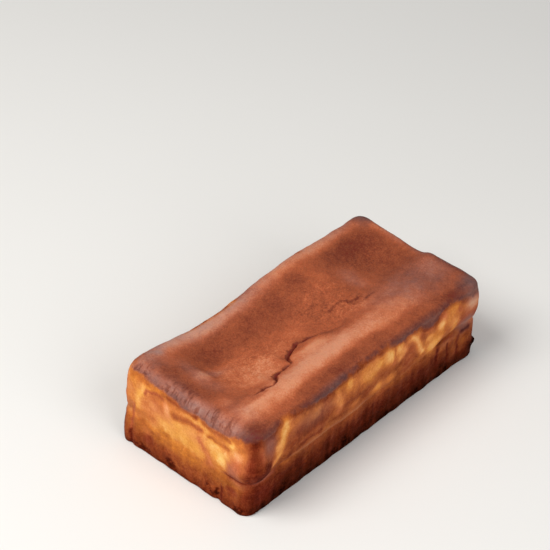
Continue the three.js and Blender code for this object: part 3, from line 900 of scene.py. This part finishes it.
def side_paint(name, points, seed):
    """Tone, rosiness, bloom with painted highlight and sheen, skin share and skin edge height for one side,
    at every point.
    """
    paint = PAINTS[name]
    face = FACES[name]
    place = face["place"](points[:, 0], points[:, 1])
    a = place * paint.get("turn", 1) + paint.get("move", 0)
    z = points[:, 2]
    wander_a = a + fields(points, SIDE_WANDER_ALONG, seed)
    wander_z = z + fields(points, SIDE_WANDER_UP, seed)
    tone = along(paint["by_height"], wander_z)
    rosy = along(paint["rosy"], wander_z)
    for *spot, patch_tone, patch_rosy in paint["patches"]:
        share = oval(wander_a, wander_z, *spot)
        tone = blend(tone, share, patch_tone)
        rosy = blend(rosy, share, patch_rosy)
    for line, half_width, streak_tone, streak_rosy in paint["streaks"]:
        share = bell(line_distance(wander_a, wander_z, line), half_width)
        tone = blend(tone, share, streak_tone)
        rosy = blend(rosy, share, streak_rosy)
    # A painted highlight along the top of the raised pleat.
    pleat = face["pleat"](place) * bell(z - PLEAT_HEIGHT + PLEAT_HIGHLIGHT_DROP, PLEAT_HIGHLIGHT_HALF_HEIGHT)
    tone = blend(tone, pleat, PLEAT_HIGHLIGHT_TONE)
    rosy = blend(rosy, pleat, PLEAT_HIGHLIGHT_ROSY)
    bloom_and_sheen = PLEAT_HIGHLIGHT_SHEEN * pleat
    # Bloom on the sides, which is painted highlight and sheen.
    for *spot, share in paint["bloom_and_sheen"]:
        bloom_and_sheen = np.maximum(bloom_and_sheen, share * oval(wander_a, wander_z, *spot))

    blur = paint["edge_blur"]
    edge = along(paint["skin_edge"], a)
    edge += blur * fields(points, EDGE_WANDER, seed) + fields(points, EDGE_TEETH, seed)
    tone = tone - BELOW_EDGE_SHADE * blur * bell(z - edge + BELOW_EDGE_DROP, BELOW_EDGE_HALF_HEIGHT)
    # Burnt crumbs, and on the front's foot painted shade.
    for *spot, strength in paint["burnt_and_shade"]:
        here = oval(a, z, *spot)
        crumbs = smooth(*CRUMB_EDGE, fields(points, CRUMBS, seed) + CRUMB_GATHER * here)
        tone = blend(tone, strength * crumbs * here, BURNT_AND_SHADE_TONE)
    return tone, rosy, bloom_and_sheen, smooth(-blur, blur, z - edge), edge


def all_sides(flat, shares, level):
    """The sides' paint, each side counted by how much a point faces it."""
    total = np.maximum(sum(shares.values()), 1e-9)
    sides = np.zeros((5, len(flat)))
    for number, name in enumerate(FACES):
        paint = side_paint(name, flat, SIDE_FIRST_SEED + SIDE_SEED_STEP * number)
        sides += shares[name] / total * np.array(paint)
    tone, rosy, bloom_and_sheen, skin, edge = sides
    uprights = UPRIGHTS + LOW_UPRIGHTS * (1 - smooth(*LOW_UPRIGHTS_FADE, level))
    tone += fields(flat, SIDE_BANDS) + uprights * fields(flat, SIDE_UPRIGHTS)
    tone += fields(flat, SIDE_SPOTS)
    rosy += fields(flat, SIDE_ROSY)
    return tone, rosy, bloom_and_sheen, skin, edge


def rim_wrinkles(points, shares, inset):
    """Short fine lines that run over the left rim, unevenly strong, from 0 to 1."""
    lines = smooth(*WRINKLE_EDGE, noise(points, WRINKLE_SIZE, 88, octaves=2))
    lines *= smooth(*WRINKLE_GAP_EDGE, fields(points, WRINKLE_GAPS))
    return shares["left"] * (1 - smooth(*WRINKLE_INSET, inset)) * lines


def top_paint(points, grain):
    """The top skin's tone, with painted sheen and shade in it, and its bloom with painted sheen before the
    crack and the wrinkles cut it.
    """
    x, y = points[:, 0], points[:, 1]
    tone = np.full(len(points), TOP_TONE)
    wander_x = x + fields(points, PATCH_WANDER_X)
    wander_y = y + fields(points, PATCH_WANDER_Y)
    for *spot, patch_tone in TOP_PATCHES:
        tone = blend(tone, oval(wander_x, wander_y, *spot), patch_tone)
    # Painted shade inside the pit, back from its sharp lower edge.
    *pit, pit_tone = PIT_SHADE
    in_pit = smooth(*PIT_EDGE_BLUR, y + fields(points, PIT_WANDER) - along(PIT_EDGE, x))
    tone = blend(tone, in_pit * oval(x, y, *pit), pit_tone)
    near_x = x + fields(points, STREAK_WANDER_X)
    near_y = y + fields(points, STREAK_WANDER_Y)
    for line, half_width, streak_tone in TOP_STREAKS:
        tone = blend(tone, bell(line_distance(near_x, near_y, line), half_width), streak_tone)

    bloom_and_sheen = np.zeros(len(points))
    # Bloom on the rims: their greyish burnt colour together with painted sheen.
    for *spot, share in BLOOM_AND_SHEEN_PATCHES:
        bloom_and_sheen = np.maximum(bloom_and_sheen, share * oval(wander_x, wander_y, *spot))
    for *spot, rim_tone in BLOOM_AND_SHEEN_TONE:
        tone = blend(tone, oval(x, y, *spot), rim_tone)
    tone += fields(points, TOP_SPOTS) + grain * fields(points, TOP_SPECKLE)
    return tone, bloom_and_sheen


def top_grain(x, y):
    grain = np.full(len(x), GRAIN_BASE)
    for *spot, share in GRAIN_PATCHES:
        grain = np.maximum(grain, share * oval(x, y, *spot))
    return grain


def crack_shade_band(points, on_top):
    """Painted shade in the crack, on its far side where it is torn open, from 0 to 1."""
    x, y = points[:, 0], points[:, 1]
    tear = along(CRACK_TEAR, x) * on_top
    width = CRACK_SHADE_WIDTH + tear * (CRACK_SHADE_REACH + fields(points, CRACK_SHADE_JAG))
    behind = crack_distance(x, y)
    past = smooth(*CRACK_SHADE_FAR_EDGE, behind - width)
    return smooth(0, CRACK_SHADE_FULL, tear) * smooth(*CRACK_SHADE_NEAR_EDGE, behind) * (1 - past)


def browning(points, shares, inset, level):
    """The paint masks: tone, rosy, skin, bloom with painted sheen, and grain."""
    x, y = points[:, 0], points[:, 1]
    flat = np.stack([x, y, level], axis=1)
    tone, rosy, side_bloom_and_sheen, side_skin, edge = all_sides(flat, shares, level)
    on_top = smooth(*SKIN_INSET, inset)
    skin = np.maximum(side_skin, on_top)

    grain = top_grain(x, y)
    top, bloom_and_sheen = top_paint(points, grain)
    top -= ABOVE_EDGE_SHADE * bell(level - edge - ABOVE_EDGE_RISE, ABOVE_EDGE_HALF_HEIGHT) * (1 - on_top)
    wrinkles = skin * rim_wrinkles(points, shares, inset)
    top -= WRINKLE_SHADE * wrinkles
    # The crack's far side darkened with painted shade.
    crack_shade = crack_shade_band(points, on_top)
    top = blend(top, crack_shade, CRACK_SHADE_TONE)
    bloom_and_sheen *= skin * (1 + fields(points, BLOOM_AND_SHEEN_SPOTS)) * (1 - crack_shade) * (1 - 0.5 * wrinkles)

    tone = tone * (1 - skin) + top * skin
    bloom_and_sheen += side_bloom_and_sheen * (1 - skin)
    grain = grain * skin + SIDE_GRAIN * (1 - skin)
    height, around, tall, strength = FLAKE
    flake = bell(np.hypot(x - HALF_X, y + HALF_Y), around) * bell(level - height, tall)
    tone = tone * (1 - np.minimum(1, strength * flake))
    masks = {"tone": tone, "rosy": rosy, "skin": skin, "bloom_and_sheen": bloom_and_sheen}
    return {key: values.clip(0, 1) for key, values in masks.items()} | {"grain": grain}


# ---- Small relief: random fields as above, in millimetres ----
SKIN_SWELL = [(0.16, 7, 81)]
SKIN_GRAIN = [(0.10, 2.4, 82)]
# The rough, crumbly stretch of the top behind the ridge: middle x, y, reach x, y.
ROUGH_SPOT = (18, -4, 19, 8)
ROUGH_GRAIN = [(0.45, (3.6, 2.2, 3), 83)]
SIDE_SWELL = [(0.22, (9, 9, 4), 84), (0.10, 2.2, 85)]
# Upright ribs low on the sides, and the heights over which they begin and end.
LOW_RIBS = [(0.16, (2.6, 2.6, 22), 86)]
LOW_RIBS_BEGIN = (1, 6)
LOW_RIBS_END = (14, 24)
WRINKLE_DEPTH = 0.10
# The relief fades to nothing below this height.
RELIEF_FROM = 0.8


def relief(points, shares, inset, masks):
    """Small relief along the normals, in millimetres."""
    x, y, z = points.T
    skin = masks["skin"]
    side = 1 - skin
    height = skin * (fields(points, SKIN_SWELL) + masks["grain"] * fields(points, SKIN_GRAIN))
    height += skin * oval(x, y, *ROUGH_SPOT) * fields(points, ROUGH_GRAIN)
    height += side * fields(points, SIDE_SWELL)
    height += side * (1 - smooth(*LOW_RIBS_END, z)) * smooth(*LOW_RIBS_BEGIN, z) * fields(points, LOW_RIBS)
    height -= WRINKLE_DEPTH * skin * rim_wrinkles(points, shares, inset)
    return height


def normals_of(points, quads):
    """Unit vertex normals of a quad mesh."""
    across = np.cross(points[quads[:, 2]] - points[quads[:, 0]], points[quads[:, 3]] - points[quads[:, 1]])
    total = np.zeros_like(points)
    for corner in range(4):
        np.add.at(total, quads[:, corner], across)
    return total / np.maximum(np.linalg.norm(total, axis=1, keepdims=True), 1e-12)


def smooth_mesh(name, points, faces):
    mesh = bpy.data.meshes.new(name)
    mesh.from_pydata(points.tolist(), [], faces)
    mesh.validate()
    mesh.shade_smooth()
    made = bpy.data.objects.new(name, mesh)
    bpy.context.scene.collection.objects.link(made)
    return made


def make_cake():
    """The cake's mesh with its paint masks, and how far its middle has moved from the plain loaf's."""
    px, py, pz, quads, around = loaf_mesh()
    points, shares, inset, level = loaf(px, py, pz)
    masks = browning(points, shares, inset, level)
    raw_low, raw_high = points.min(0), points.max(0)
    lift = relief(points, shares, inset, masks) * smooth(0, RELIEF_FROM, points[:, 2])
    points = points + normals_of(points, quads) * lift[:, None]

    # Set the finer skin into exactly the box of the CAD node.
    low, high = (np.array(corner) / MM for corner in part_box(NODE))
    now_low, now_high = points.min(0), points.max(0)
    points = low + (points - now_low) * (high - low) / (now_high - now_low)
    moved = (low + high) / 2 - (raw_low + raw_high) / 2

    # The underside is a fan round a middle point.
    middle = len(points)
    points = np.vstack([points, [[0, 0, low[2]]]])
    faces = quads.tolist() + [(middle, (n + 1) % around, n) for n in range(around)]
    cake = smooth_mesh("cake_crust", points * MM, faces)
    for key, values in masks.items():
        layer = cake.data.attributes.new(key, "FLOAT", "POINT")
        layer.data.foreach_set("value", np.append(values, 0).astype(np.float32))
    return cake, Vector(moved.tolist()) * MM


# ---- Material ----
# Colour ramps: place on the ramp, and the colour as 0 to 255 display values.
GOLDEN_COLOURS = [
    (0.00, (22, 5, 1)),
    (0.20, (88, 32, 8)),
    (0.35, (133, 64, 23)),
    (0.50, (176, 97, 39)),
    (0.65, (210, 126, 47)),
    (0.80, (236, 165, 75)),
    (1.00, (252, 210, 128)),
]
ROSY_COLOURS = [
    (0.00, (26, 4, 2)),
    (0.20, (98, 29, 12)),
    (0.35, (141, 58, 32)),
    (0.50, (176, 87, 53)),
    (0.65, (208, 115, 70)),
    (0.80, (230, 147, 98)),
    (1.00, (248, 196, 148)),
]
TOP_COLOURS = [
    # The darkest stop colours the painted shade in the crack.
    (0.00, (122, 22, 22)),
    (0.20, (115, 49, 29)),
    (0.40, (146, 72, 42)),
    (0.60, (174, 88, 52)),
    (0.80, (200, 114, 74)),
    (1.00, (216, 142, 104)),
]
# The bloom's colours, also used for the painted sheen and highlights.
BLOOM_AND_SHEEN_COLOURS = [(0, (62, 40, 42)), (0.5, (126, 86, 80)), (1, (180, 134, 120))]
FLOOR_COLOURS = [(0, (236, 235, 232)), (1, (242, 241, 239))]

# Pattern sizes in millimetres, and how strongly each pattern counts. Plain bump is where there is no grain.
FIBRE_SIZE = 2.2
FIBRE_STRENGTH = 0.8
SPECK_SIZE = 0.8
SPECK_STRENGTH = 0.3
ROUGHNESS_LOW = 0.42
ROUGHNESS_RANGE = 0.24
ROUGHNESS_SIZE = 3.0
BUMP_STRENGTH = 0.5
BUMP_DEPTH = 0.35
BUMP_SIZE = 2.4
FINE_BUMP_SIZE = 0.9
PLAIN_BUMP = 0.4
SKIN_GLOSS = 0.20
TONE_GLOSS = 0.10
SOFTNESS = 0.12
SOFTNESS_RADIUS = (1.0, 0.4, 0.18)
SOFTNESS_DEPTH = 2.0


def srgb(*display):
    """A colour given as 0 to 255 display values, made linear."""
    shares = (value / 255 for value in display)
    return (*(v / 12.92 if v <= 0.04045 else ((v + 0.055) / 1.055) ** 2.4 for v in shares), 1.0)


def new_material(name):
    """A material with its node tree, its shader and its place socket."""
    material = bpy.data.materials.new(name)
    material.use_nodes = True
    tree = material.node_tree
    place = tree.nodes.new("ShaderNodeTexCoord").outputs["Object"]
    return material, tree, tree.nodes["Principled BSDF"], place


def ramp(tree, factor, stops):
    node = tree.nodes.new("ShaderNodeValToRGB")
    elements = node.color_ramp.elements
    while len(elements) < len(stops):
        elements.new(0.5)
    for element, (place, colour) in zip(elements, stops):
        element.position = place
        element.color = srgb(*colour)
    tree.links.new(factor, node.inputs["Fac"])
    return node.outputs["Color"]


def math_node(tree, operation, first, second):
    node = tree.nodes.new("ShaderNodeMath")
    node.operation = operation
    for socket, value in zip(node.inputs, (first, second)):
        if isinstance(value, (int, float)):
            socket.default_value = value
        else:
            tree.links.new(value, socket)
    return node.outputs["Value"]


def times(tree, first, second):
    return math_node(tree, "MULTIPLY", first, second)


def plus(tree, first, second):
    return math_node(tree, "ADD", first, second)


def noise_node(tree, place, size_mm, detail=3.0, distortion=0.0):
    node = tree.nodes.new("ShaderNodeTexNoise")
    node.inputs["Scale"].default_value = 1 / (size_mm * MM)
    node.inputs["Detail"].default_value = detail
    node.inputs["Distortion"].default_value = distortion
    tree.links.new(place, node.inputs["Vector"])
    return node.outputs["Fac"]


def mix_colour(tree, share, first, second):
    node = tree.nodes.new("ShaderNodeMix")
    node.data_type = "RGBA"
    tree.links.new(share, node.inputs["Factor"])
    tree.links.new(first, node.inputs[6])
    tree.links.new(second, node.inputs[7])
    return node.outputs[2]


def attribute(tree, name):
    node = tree.nodes.new("ShaderNodeAttribute")
    node.attribute_name = name
    return node.outputs["Fac"]


def crust_material():
    material, tree, shader, place = new_material("baked_crust")
    fibres = math_node(tree, "SUBTRACT", noise_node(tree, place, FIBRE_SIZE, 5.0, 2.2), 0.5)
    speck = math_node(tree, "SUBTRACT", noise_node(tree, place, SPECK_SIZE, 2.0), 0.5)
    speckle = plus(tree, times(tree, fibres, FIBRE_STRENGTH), times(tree, speck, SPECK_STRENGTH))
    skin = attribute(tree, "skin")
    grain = attribute(tree, "grain")
    tone = plus(tree, attribute(tree, "tone"), times(tree, speckle, grain))
    golden = ramp(tree, tone, GOLDEN_COLOURS)
    rosy = ramp(tree, tone, ROSY_COLOURS)
    side = mix_colour(tree, attribute(tree, "rosy"), golden, rosy)
    baked = mix_colour(tree, skin, side, ramp(tree, tone, TOP_COLOURS))
    # Mixes in the bloom colour, which also paints sheen and highlights.
    colour = mix_colour(tree, attribute(tree, "bloom_and_sheen"), baked, ramp(tree, tone, BLOOM_AND_SHEEN_COLOURS))
    tree.links.new(colour, shader.inputs["Base Color"])

    patchy = times(tree, noise_node(tree, place, ROUGHNESS_SIZE), ROUGHNESS_RANGE)
    tree.links.new(plus(tree, patchy, ROUGHNESS_LOW), shader.inputs["Roughness"])
    bump = tree.nodes.new("ShaderNodeBump")
    bump.inputs["Strength"].default_value = BUMP_STRENGTH
    bump.inputs["Distance"].default_value = BUMP_DEPTH * MM
    fine = noise_node(tree, place, FINE_BUMP_SIZE, 4.0)
    bumps = plus(tree, fine, noise_node(tree, place, BUMP_SIZE, 4.0, 1.8))
    tree.links.new(times(tree, bumps, plus(tree, grain, PLAIN_BUMP)), bump.inputs["Height"])
    tree.links.new(bump.outputs["Normal"], shader.inputs["Normal"])
    gloss = plus(tree, times(tree, skin, SKIN_GLOSS), times(tree, tone, TONE_GLOSS))
    tree.links.new(gloss, shader.inputs["Specular IOR Level"])
    shader.inputs["Subsurface Weight"].default_value = SOFTNESS
    shader.inputs["Subsurface Radius"].default_value = SOFTNESS_RADIUS
    shader.inputs["Subsurface Scale"].default_value = SOFTNESS_DEPTH * MM
    return material


# ---- Stage ----
FLOOR_HALF = 3.0
FLOOR_PATTERN_SIZE = 400.0
FLOOR_ROUGHNESS = 0.75
LIGHT_AIM = (0, 0, 0.03)
# Lamps: name, azimuth, elevation, distance, size, watts, colour.
LAMPS = [
    ("key_lamp", -112, 52, 1.2, 0.7, 11.3, (1.0, 0.98, 0.945)),
    ("fill_lamp", -12, 36, 1.4, 1.0, 7.4, (1.0, 1.0, 1.0)),
]
SURROUND_LIGHT = 0.30


def floor_material():
    material, tree, shader, place = new_material("pale_floor")
    pale = ramp(tree, noise_node(tree, place, FLOOR_PATTERN_SIZE), FLOOR_COLOURS)
    tree.links.new(pale, shader.inputs["Base Color"])
    shader.inputs["Roughness"].default_value = FLOOR_ROUGHNESS
    return material


def make_floor():
    corners = np.array([(-1, -1, 0), (1, -1, 0), (1, 1, 0), (-1, 1, 0)], float) * FLOOR_HALF
    floor = smooth_mesh("floor", corners, [(0, 1, 2, 3)])
    floor.data.materials.append(floor_material())


def outward(azimuth, elevation):
    """The direction of an azimuth and elevation. Azimuth 0 is on the -Y side and 90 on the +X side."""
    turn, rise = math.radians(azimuth), math.radians(elevation)
    return Vector((math.sin(turn) * math.cos(rise), -math.cos(turn) * math.cos(rise), math.sin(rise)))


def add_light(name, azimuth, elevation, distance, size, watts, colour):
    """A square lamp aimed at the cake."""
    aim = Vector(LIGHT_AIM)
    place = aim + distance * outward(azimuth, elevation)
    data = bpy.data.lights.new(name, "AREA")
    data.size = size
    data.energy = watts
    data.color = colour
    lamp = bpy.data.objects.new(name, data)
    lamp.location = place
    lamp.rotation_euler = (place - aim).to_track_quat("Z", "Y").to_euler()
    bpy.context.scene.collection.objects.link(lamp)


def light_scene():
    for lamp in LAMPS:
        add_light(*lamp)
    world = bpy.data.worlds.new("studio")
    world.use_nodes = True
    background = world.node_tree.nodes["Background"]
    background.inputs["Color"].default_value = (1.0, 1.0, 1.0, 1.0)
    background.inputs["Strength"].default_value = SURROUND_LIGHT
    scene = bpy.context.scene
    scene.world = world
    scene.view_settings.view_transform = "Standard"
    scene.view_settings.look = "None"


# ---- Camera: the photograph's viewing angle ----
LENS = 124.94
SENSOR = 36.0
CAMERA_AZIMUTH = -51.03
CAMERA_ELEVATION = 37.10
CAMERA_ROLL = 4.07
# The cake's base middle as the camera sees it: right of the view's axis, above it, and in front, in metres.
CAMERA_OFFSET = (0.014453, -0.059061, -0.956488)
BASE_RISE = 0.0005


def make_camera(moved):
    azimuth, roll = math.radians(CAMERA_AZIMUTH), math.radians(CAMERA_ROLL)
    back = outward(CAMERA_AZIMUTH, CAMERA_ELEVATION)
    right = Vector((math.cos(azimuth), math.sin(azimuth), 0))
    up = back.cross(right)
    rolled_right = right * math.cos(roll) + up * math.sin(roll)
    rolled_up = up * math.cos(roll) - right * math.sin(roll)
    turn = Matrix((rolled_right, rolled_up, back)).transposed()
    place = -(turn @ Vector(CAMERA_OFFSET)) - Vector((0, 0, BASE_RISE)) + moved
    data = bpy.data.cameras.new("camera")
    data.lens = LENS
    data.sensor_width = SENSOR
    camera = bpy.data.objects.new("camera", data)
    camera.matrix_world = Matrix.Translation(place) @ turn.to_4x4()
    bpy.context.scene.collection.objects.link(camera)
    bpy.context.scene.camera = camera


cake, moved = make_cake()
cake.data.materials.append(crust_material())
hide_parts(NODE)
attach(cake, "root")
make_floor()
light_scene()
make_camera(moved)
